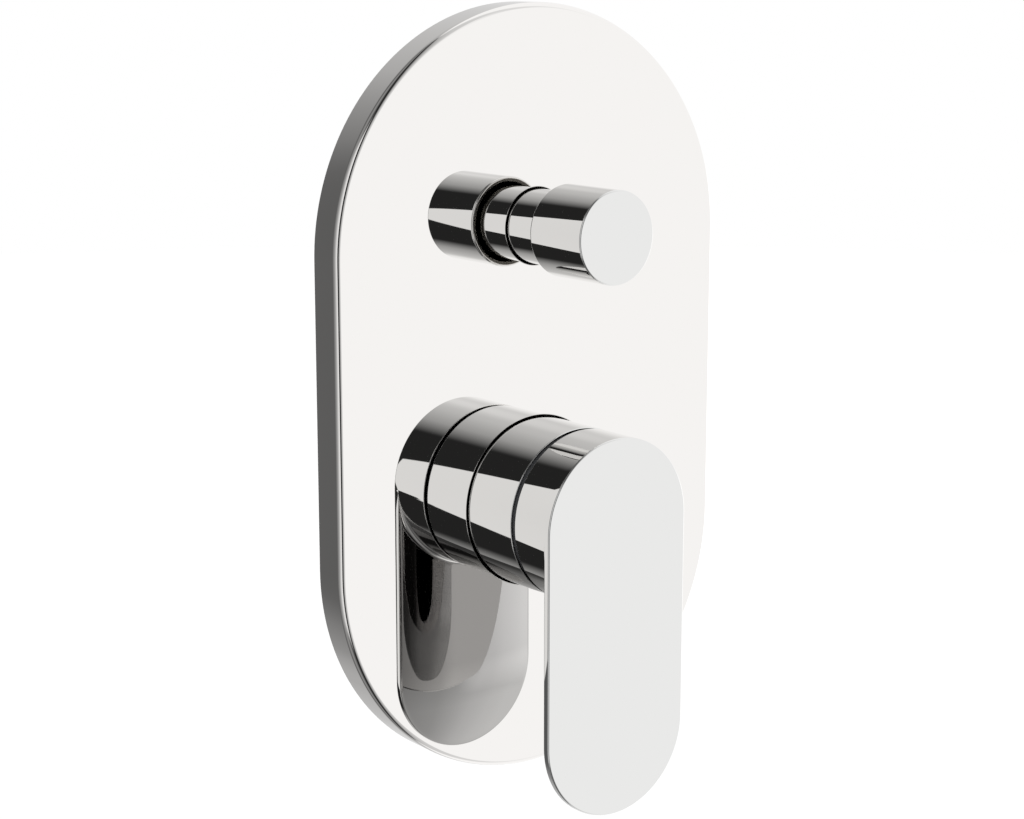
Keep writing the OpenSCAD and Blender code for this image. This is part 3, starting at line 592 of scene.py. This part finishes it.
# The lever is one chromed brass casting: a round hub, hollow behind, with a thin paddle down its front.
# A grub screw holds it on the spindle through a hole in the hub's underside, which a small plug closes.
hub_rim_out = 28.3
hub_rim = 0.25
hub_rim_round = 0.12
back_out = 39.7
front_out = 41.6
paddle_drop = 53.0
front_round = 0.4
back_round = 0.3
crown = 3.2
crown_flat = 1.5
crown_rim = 0.5
crown_half = hub_r - crown_flat - crown_rim
crown_r = (crown_half ** 2 + crown ** 2) / (2 * crown)
root_fillet = 1.2
pin_out = 20.7
hollow_r = math.hypot(hub_r - hub_rim, hub_rim_out - pin_out)
roof_out = 39.3
lean = math.radians(12)
boss_half = 8.0
socket_half = 4.05
boss_start = 7.6
boss_into_roof = 0.2
socket_end = 16.55
screw_out = 33.3
plug_hole_r = 2.6
plug_hole_top = -13.5
screw_bore_r = 2.05
screw_bore_foot = -18.9
hub_step = 2
side_steps = 68
end_steps = 45
back_steps = 44
hollow_steps = 24
front_steps = 6
back_edge_steps = 4
fillet_steps = 8
rim_steps = 3
room_for_round = 0.4
room_for_fillet = 0.45
room_for_rim = 0.6


def back_height(inset):
    """How far out the paddle's back lies at that distance inside its outline."""
    beside = hub_r - inset - crown_flat
    if beside <= 0:
        return back_out - crown
    if beside >= crown_half:
        return back_out
    return back_out - crown + crown_r - math.sqrt(crown_r ** 2 - beside ** 2)


# The outline's points: over the hub they go round it, and below it each lies on a ray from the hub's
# centre, so that the back can be laid out between the hub's round and the outline. Each is a height on
# the lever's middle line, the direction out from there, and the room between the hub and the outline.
nearly_equal = 1e-9
corner_ray = math.degrees(math.atan(paddle_drop / hub_r))
upper = [(0.0, math.cos(math.radians(a)), math.sin(math.radians(a)), 0.0)
         for a in range(0, 181, hub_step)]
side_rays = [corner_ray * k / side_steps for k in range(1, side_steps)]
end_rays = [corner_ray + (90 - corner_ray) * k / end_steps for k in range(end_steps + 1)]
rays = side_rays + end_rays
rays = rays + [180 - ray for ray in reversed(rays[:-1])]
lower = []
for ray in rays:
    dx, dz = -math.cos(math.radians(ray)), -math.sin(math.radians(ray))
    if abs(dz) * hub_r <= abs(dx) * paddle_drop + nearly_equal:
        reach = hub_r / abs(dx)
        lower.append((reach * dz, math.copysign(1.0, dx), 0.0, reach - hub_r))
    else:
        down = -paddle_drop * dz
        reach = down + math.sqrt(down ** 2 - paddle_drop ** 2 + hub_r ** 2)
        lower.append((-paddle_drop, reach * dx / hub_r, (reach * dz + paddle_drop) / hub_r,
                      reach - hub_r))
outline = upper + lower
ends = len(upper)


def inset_point(sample, inset, out):
    """The point that lies that far inside the outline and that far out."""
    centre, nx, nz, _ = sample
    return at(nx * (hub_r - inset), centre + nz * (hub_r - inset), out, mixer_height)


lever = bmesh.new()
ring = [lever.verts.new(inset_point(sample, front_round, front_out)) for sample in outline]
lever.faces.new(ring)
for sine, cosine in quarter(front_steps)[1:]:
    inset, out = front_round * (1 - sine), front_out - front_round * (1 - cosine)
    further = [lever.verts.new(inset_point(sample, inset, out)) for sample in outline]
    strip(lever, ring, further)
    ring = further
rounds = [min(back_round, room_for_round * sample[3]) for sample in outline]
edge_ring = [lever.verts.new(inset_point(sample, 0, back_out + small))
             for sample, small in zip(outline, rounds)]
strip(lever, ring, edge_ring)

# Round the hub's side, from the paddle's back edge or its root fillet down to the rim.
hub_points = [(sample[1], sample[2]) for sample in upper]
hub_points += [(-math.cos(math.radians(ray)), -math.sin(math.radians(ray))) for ray in rays]


def hub_ring(radius, out):
    """A ring of the lever's points round the hub's axis."""
    return [lever.verts.new(at(nx * radius, nz * radius, out, mixer_height)) for nx, nz in hub_points]


rim_ring = hub_ring(hub_r, hub_rim_out + hub_rim_round)
strip(lever, edge_ring[:ends], rim_ring[:ends], closed=False)

# The back of the paddle: a row of faces along each ray, from the outline's edge to the hub.
edge_row = [edge_ring[ends - 1]] + edge_ring[ends:] + [edge_ring[0]]
samples = [upper[-1]] + lower + [upper[0]]
small_rounds = [0.0] + rounds[ends:] + [0.0]
hub_row_points = [hub_points[ends - 1]] + hub_points[ends:] + [hub_points[0]]
fillets = [min(root_fillet, room_for_fillet * sample[3]) for sample in samples]
row = edge_row
for sine, cosine in quarter(back_edge_steps)[1:]:
    further = []
    for sample, small in zip(samples, small_rounds):
        place = inset_point(sample, small * (1 - cosine), back_out + small * (1 - sine))
        further.append(lever.verts.new(place))
    strip(lever, row, further, closed=False)
    row = further
inner = [min(crown_rim, room_for_rim * sample[3]) for sample in samples]
further = [lever.verts.new(inset_point(sample, inset, back_height(max(inset, crown_rim))))
           for sample, inset in zip(samples, inner)]
strip(lever, row, further, closed=False)
row = further
for k in range(1, back_steps + 1):
    share = k / back_steps
    further = []
    for sample, (nx, nz), inset, fillet in zip(samples, hub_row_points, inner, fillets):
        start = (sample[1] * (hub_r - inset), sample[0] + sample[2] * (hub_r - inset))
        end = (nx * (hub_r + fillet), nz * (hub_r + fillet))
        across = start[0] + (end[0] - start[0]) * share
        up = start[1] + (end[1] - start[1]) * share
        beside = abs(across) if up > -paddle_drop else math.hypot(across, up + paddle_drop)
        further.append(lever.verts.new(at(across, up, back_height(hub_r - beside), mixer_height)))
    strip(lever, row, further, closed=False)
    row = further
for sine, cosine in quarter(fillet_steps)[1:]:
    further = []
    for (nx, nz), fillet in zip(hub_row_points, fillets):
        radius = hub_r + fillet * (1 - sine)
        beside = abs(nx * radius)
        height = back_height(hub_r - beside) - fillet * (1 - cosine)
        further.append(lever.verts.new(at(nx * radius, nz * radius, height, mixer_height)))
    strip(lever, row, further, closed=False)
    row = further
strip(lever, row, [rim_ring[ends - 1]] + rim_ring[ends:] + [rim_ring[0]], closed=False)

# The rim, the hollow round the tilt pin's centre, and the flat roof over it.
ring = rim_ring
for sine, cosine in quarter(rim_steps)[1:]:
    further = hub_ring(hub_r - hub_rim_round * (1 - cosine), hub_rim_out + hub_rim_round * (1 - sine))
    strip(lever, ring, further)
    ring = further
for k in range(hollow_steps + 1):
    out = hub_rim_out + (roof_out - hub_rim_out) * k / hollow_steps
    further = hub_ring(math.sqrt(hollow_r ** 2 - (out - pin_out) ** 2), out)
    strip(lever, ring, further)
    ring = further
lever.faces.new(ring)
bmesh.ops.remove_doubles(lever, verts=lever.verts, dist=same_place / 1000)
bmesh.ops.recalc_face_normals(lever, faces=lever.faces)


def loose(name, shape):
    """A mesh object that is only a tool for shaping another."""
    mesh = bpy.data.meshes.new(name)
    shape.to_mesh(mesh)
    shape.free()
    made = bpy.data.objects.new(name, mesh)
    bpy.context.scene.collection.objects.link(made)
    return made


def shaped(base, *tools):
    """The mesh of base after each tool, a pair of operation and object, and without the tools."""
    for operation, tool in tools:
        cut = base.modifiers.new(operation, "BOOLEAN")
        cut.operation = operation
        cut.solver = "EXACT"
        cut.object = tool
    bpy.context.view_layer.update()
    result = bmesh.new()
    result.from_object(base, bpy.context.evaluated_depsgraph_get())
    for used in [base] + [tool for _, tool in tools]:
        bpy.data.objects.remove(used)
    return result


def rod(radius, low, high, out, steps=64):
    """A round bar that stands upright below the mixer's axis."""
    shape = bmesh.new()
    rings = []
    for up in (low, high):
        ring = []
        for k in range(steps):
            across = radius * math.cos(math.tau * k / steps)
            raised = out + radius * math.sin(math.tau * k / steps)
            ring.append(shape.verts.new(at(across, up, raised, mixer_height)))
        rings.append(ring)
        shape.faces.new(ring)
    strip(shape, *rings)
    bmesh.ops.recalc_face_normals(shape, faces=shape.faces)
    return shape


def square_bar(half, start, end=None, roof=None):
    """A square bar along the leaning spindle's line, with a square end or one at the roof's height."""
    shape = bmesh.new()
    rings = []
    for last in (False, True):
        ring = []
        for across, side in ((-half, -half), (half, -half), (half, half), (-half, half)):
            along = start
            if last:
                along = end or (roof - pin_out - side * math.sin(lean)) / math.cos(lean)
            up = side * math.cos(lean) - along * math.sin(lean)
            out = pin_out + along * math.cos(lean) + side * math.sin(lean)
            ring.append(shape.verts.new(at(across, up, out, mixer_height)))
        rings.append(ring)
        shape.faces.new(ring)
    strip(shape, *rings)
    bmesh.ops.recalc_face_normals(shape, faces=shape.faces)
    return shape


# The boss stands in the hollow for the spindle's square end, and the screw's hole runs up through it. The
# tools reach a little past the surfaces that they cut.
past = 1.0
casting = shaped(
    loose("lever_shell", lever),
    ("UNION", loose("lever_boss", square_bar(boss_half, boss_start, roof=roof_out + boss_into_roof))),
    ("DIFFERENCE", loose("socket", square_bar(socket_half, boss_start - past, end=socket_end))),
    ("DIFFERENCE", loose("plug_hole", rod(plug_hole_r, -hub_r - past, plug_hole_top, screw_out))),
    ("DIFFERENCE", loose("screw_bore", rod(screw_bore_r, screw_bore_foot, 0.0, screw_out))))

# Chromium on the casting: bright in front and round the hub. The paddle's back, which faces the plate, is
# painted greyer as shade: fully close under the hub, a little less towards the free end, under a faint
# haze.
shade_full_until = 50.0
shade_fade_end = 62.0
shade_at_free_end = 0.69


def paddle_back_painted_shade(tree, mm):
    """How much painted shade the paddle's back takes, below the hub and facing the wall."""
    x, y, z = add(tree, "SeparateXYZ", [mm]).outputs
    drop = add(tree, "Math", [mixer_height, z], operation="SUBTRACT")
    radius = hypot(tree, x, drop)
    clear = add(tree, "Math", [radius, hub_r + root_fillet / 2], operation="GREATER_THAN")
    behind = add(tree, "Math", [y, -back_out - face_skin], operation="GREATER_THAN")
    rear = add(tree, "Math", [clear, behind], operation="MULTIPLY")
    # Painted shade: full close under the hub, less towards the paddle's free end.
    rough = add(tree, "MapRange", [drop, shade_full_until, shade_fade_end, 1.0, shade_at_free_end])
    return add(tree, "Math", [rear, rough], operation="MULTIPLY")


lever_chrome = chromed("chromed_cast_brass", control_code, *control_haze, unbuffed_and_painted_shade=paddle_back_painted_shade)
make_piece("lever_casting", casting, lever_chrome, "chrome", "lifting", "lever")

# The plug is chromed plastic, a little hazier than the metal. The screw is turned from stainless bar: a
# paler grey than the spring steel, with the rings of the tool.
dress(chromed("chromed_moulded_plug", control_code, 0.02, 0.05), "lever_plug")
dress(turned("turned_stainless_steel", ("#b0b4b6", "#cdd0d1"), mixer_height, tool_feed, 0.26),
      "lever_screw")


# The diverter's knob is a hollow cap that slides over the neck, turned from brass bar, with a boss inside
# that screws on the rod. It is chromed outside, and inside its deep skirt shade is painted as a dark
# colour.
knob_r = 11.5
knob_back = 20.8
knob_out = 40.1
knob_wall = 1.4
knob_roof = 34.7
knob_boss_r = 4.6
knob_boss_back = 23.1
knob_bore_r = 2.55
knob_bore_end = 36.7
knob_front_round = 0.4
knob_rim_round = 0.6
knob_lip = 0.5
knob_front_skin = 1.0
knob = bmesh.new()
swept(knob, rounded([
    (0, knob_out, 0), (knob_r, knob_out, knob_front_round), (knob_r, knob_back, knob_rim_round),
    (knob_r - knob_wall, knob_back, knob_rim_round), (knob_r - knob_wall, knob_roof, turned_edge),
    (knob_boss_r, knob_roof, turned_edge), (knob_boss_r, knob_boss_back, turned_edge),
    (knob_bore_r, knob_boss_back, turned_edge), (knob_bore_r, knob_bore_end, 0), (0, knob_bore_end, 0)]),
      diverter_height)
bmesh.ops.recalc_face_normals(knob, faces=knob.faces)


def skirt_painted_shade(tree, mm):
    """1 on the inside of the knob's skirt, from the lip of its rim inwards, where shade is painted."""
    x, y, z = add(tree, "SeparateXYZ", [mm]).outputs
    radius = hypot(tree, x, add(tree, "Math", [z, diverter_height], operation="SUBTRACT"))
    inside = add(tree, "Math", [radius, knob_r - knob_lip], operation="LESS_THAN")
    behind = add(tree, "Math", [y, -knob_out + knob_front_skin], operation="GREATER_THAN")
    return add(tree, "Math", [inside, behind], operation="MULTIPLY")


# Chromium on the turned knob: the mirror of the sleeves outside. Inside the skirt it is painted dark as
# shade, under a dull haze.
knob_chrome = chromed("chromed_turned_knob", control_code, *control_haze, unbuffed_and_painted_shade=skirt_painted_shade,
                      unbuffed_and_painted_shade_code="#5c5a56", unbuffed_and_painted_shade_haze=0.3)
make_piece("knob_cap", knob, knob_chrome, "chrome", "diverter", "diverter_knob")


# The studio is a white tent with a dark opening, and the mirror metal shows it as bands. The camera
# stands inside it, on the left and a little above the fitting, over a plain pale floor.

# The camera's place and the floor's sizes are in metres, angles are in degrees, and the film and the lens
# are in millimetres.
camera_film = 36.0
camera_lens = 76.728
camera_place = (-0.337708, -0.434674, 0.108111)
camera_down = 11.6433
camera_right = 37.7868
camera = bpy.data.objects.new("camera", bpy.data.cameras.new("camera"))
bpy.context.scene.collection.objects.link(camera)
camera.data.sensor_width = camera_film
camera.data.lens = camera_lens
camera.location = camera_place
camera.rotation_euler = (math.radians(90 - camera_down), 0, math.radians(-camera_right))
bpy.context.scene.camera = camera
bpy.context.scene.view_settings.view_transform = "Standard"

world = bpy.data.worlds.new("studio")
world.use_nodes = True
bpy.context.scene.world = world
tree = world.node_tree
tree.nodes.clear()
x, y, z = add(tree, "SeparateXYZ", [add(tree, "TexCoord").outputs["Generated"]]).outputs
leftwards, forwards = [add(tree, "Math", [part, -1.0], operation="MULTIPLY") for part in (x, y)]
turn = add(tree, "Math", [leftwards, forwards], operation="ARCTAN2")
rise = add(tree, "Math", [z], operation="ARCSINE")


def levels(value, *stops, widest=180):
    """A level that follows the stops, each an angle in degrees and a level, from -widest to widest."""
    edge = math.radians(widest)
    share = add(tree, "MapRange", [value, -edge, edge, 0.0, 1.0])
    places = [((angle + widest) / (2 * widest), level) for angle, level in stops]
    return add(tree, "ValToRGB", [share], stops=places)


def blend(share, first, second):
    """first where the share is 0 and second where it is 1."""
    difference = add(tree, "Math", [second, first], operation="SUBTRACT")
    further = add(tree, "Math", [share, difference], operation="MULTIPLY")
    return add(tree, "Math", [first, further], operation="ADD")


def panel(turn_share, rise_share, level, own):
    """The level around the panel, with the panel's own level where both of its shares are 1."""
    return blend(add(tree, "Math", [turn_share, rise_share], operation="MULTIPLY"), level, own)


# Turn angles run from 0 in front of the plate to 90 on its left, -90 on its right and 180 behind it.
# A dark opening lies between the tent's front and its left wall, and the wall's near edge bows outwards.
# Each panel has its levels by turn, and a mask by turn and by rise that says where it stands.
edge_bow = 0.212
wall_near = (35.35, 35.5)
wall_far = (140, 160)
tent = levels(turn, (-180, 0.43), (-167, 0.5), (-160, 0.54), (-150, 0.61), (-145, 0.66), (-132, 1.0),
              (-46, 1.0), (-38, 0.75), (-30, 0.68), (-19, 0.62), (0, 0.40), (8, 0.22), (16, 0.02),
              (38, 0.02), (90, 0.3), (142, 0.1), (150, 0.124), (156, 0.215), (170, 0.34), (180, 0.43))
wall = levels(turn, (-180, 0.35), (15, 0.92), (39, 0.9), (45, 0.86), (66, 0.6), (90, 0.33),
              (142, 0.10), (150, 0.124), (180, 0.43))
squared = add(tree, "Math", [rise, rise], operation="MULTIPLY")
bow = add(tree, "Math", [squared, edge_bow], operation="MULTIPLY")
bowed = add(tree, "Math", [turn, bow], operation="ADD")
near_edge = add(tree, "MapRange", [bowed, *map(math.radians, wall_near), 0.0, 1.0])
far_edge = add(tree, "MapRange", [turn, *map(math.radians, wall_far), 1.0, 0.0])
wall_turn = add(tree, "Math", [near_edge, far_edge], operation="MULTIPLY")
wall_rise = levels(rise, (-40, 0), (-32, 1), (32, 1), (40, 0), widest=90)
level = panel(wall_turn, wall_rise, tent, wall)

# The front panel fades towards the opening, and a lamp panel lights the tent's right side from low down.
front = levels(turn, (-30, 0.94), (-24, 0.82), (-16, 0.69), (-7, 0.56), (1, 0.43), (9, 0.2),
               (12, 0.048), (16, 0.02))
front_turn = levels(turn, (-38, 0), (-30, 1), (14, 1), (18, 0))
front_rise = levels(rise, (-33, 0), (-27, 1), (20, 1), (32, 0), widest=90)
level = panel(front_turn, front_rise, level, front)
lamp_turn = levels(turn, (-70, 0), (-60, 1), (-29, 1), (-20, 0))
lamp_rise = levels(rise, (-34, 0), (-24, 1), (2, 1), (14, 0), widest=90)
level = panel(lamp_turn, lamp_rise, level, 1.0)

# Below the plate the tent's rear is brighter to the right, where a soft box stands beside the wall.
rear = levels(turn, (-180, 0.44), (-170, 0.5), (-160, 0.56), (-150, 0.7), (-140, 0.86), (-128, 0.98),
              (-115, 1.06), (-90, 1.06), (-85, 1.0), (180, 0.43))
rear_turn = levels(turn, (-180, 1), (-95, 1), (-85, 0), (165, 0), (180, 1))
rear_rise = levels(rise, (-6, 1), (2, 0), widest=90)
level = panel(rear_turn, rear_rise, level, rear)
soft_box = levels(turn, (-150, 1.25), (-132, 1.42), (-125, 1.57), (-109, 1.8))
box_turn = levels(turn, (-150, 0), (-140, 1), (-95, 1), (-85, 0))
box_rise = levels(rise, (-26, 0), (-17, 1), (-8, 1), (0, 0), widest=90)
level = panel(box_turn, box_rise, level, soft_box)

# Matt surfaces get plain even light, and the camera sees plain white behind the fitting.
even_light = 0.8
path = add(tree, "LightPath")
level = blend(path.outputs["Is Glossy Ray"], even_light, level)
level = blend(path.outputs["Is Camera Ray"], level, 1.0)
add(tree, "OutputWorld", [add(tree, "Background", {"Color": level, "Strength": 1.0})])

# White paper floor: pale and matt, with the faint fibre of the sheet. It keeps the fitting's shadow, and
# the mirror metal shows the tent in its place.
floor_drop = 0.35
floor_r = 3.0
floor_corners = 64
fibre_size = 1.5
paper_glow = 0.4
paper, tree, mm = new_finish("white_paper")
fibre = add(tree, "TexNoise", {"Vector": mm, "Scale": 1 / fibre_size, "Detail": 3.0})
whites = add(tree, "ValToRGB", [fibre], stops=((noise_low, "#e6e6e6"), (noise_high, "#e9e9e9")))
sheet = add(tree, "BsdfDiffuse", {"Color": whites})
path = add(tree, "LightPath")
seen = add(tree, "Math", [path.outputs["Is Camera Ray"], paper_glow], operation="MULTIPLY")
glow = add(tree, "Emission", {"Color": "#ffffff", "Strength": seen})
add(tree, "OutputMaterial", [add(tree, "AddShader", [sheet, glow])])
floor = bpy.data.objects.new("floor", bpy.data.meshes.new("floor"))
bpy.context.scene.collection.objects.link(floor)
shape = bmesh.new()
bmesh.ops.create_circle(shape, cap_ends=True, radius=floor_r, segments=floor_corners)
bmesh.ops.translate(shape, verts=shape.verts, vec=(0, 0, -floor_drop))
shape.to_mesh(floor.data)
floor.data.materials.append(paper)
floor.visible_glossy = False
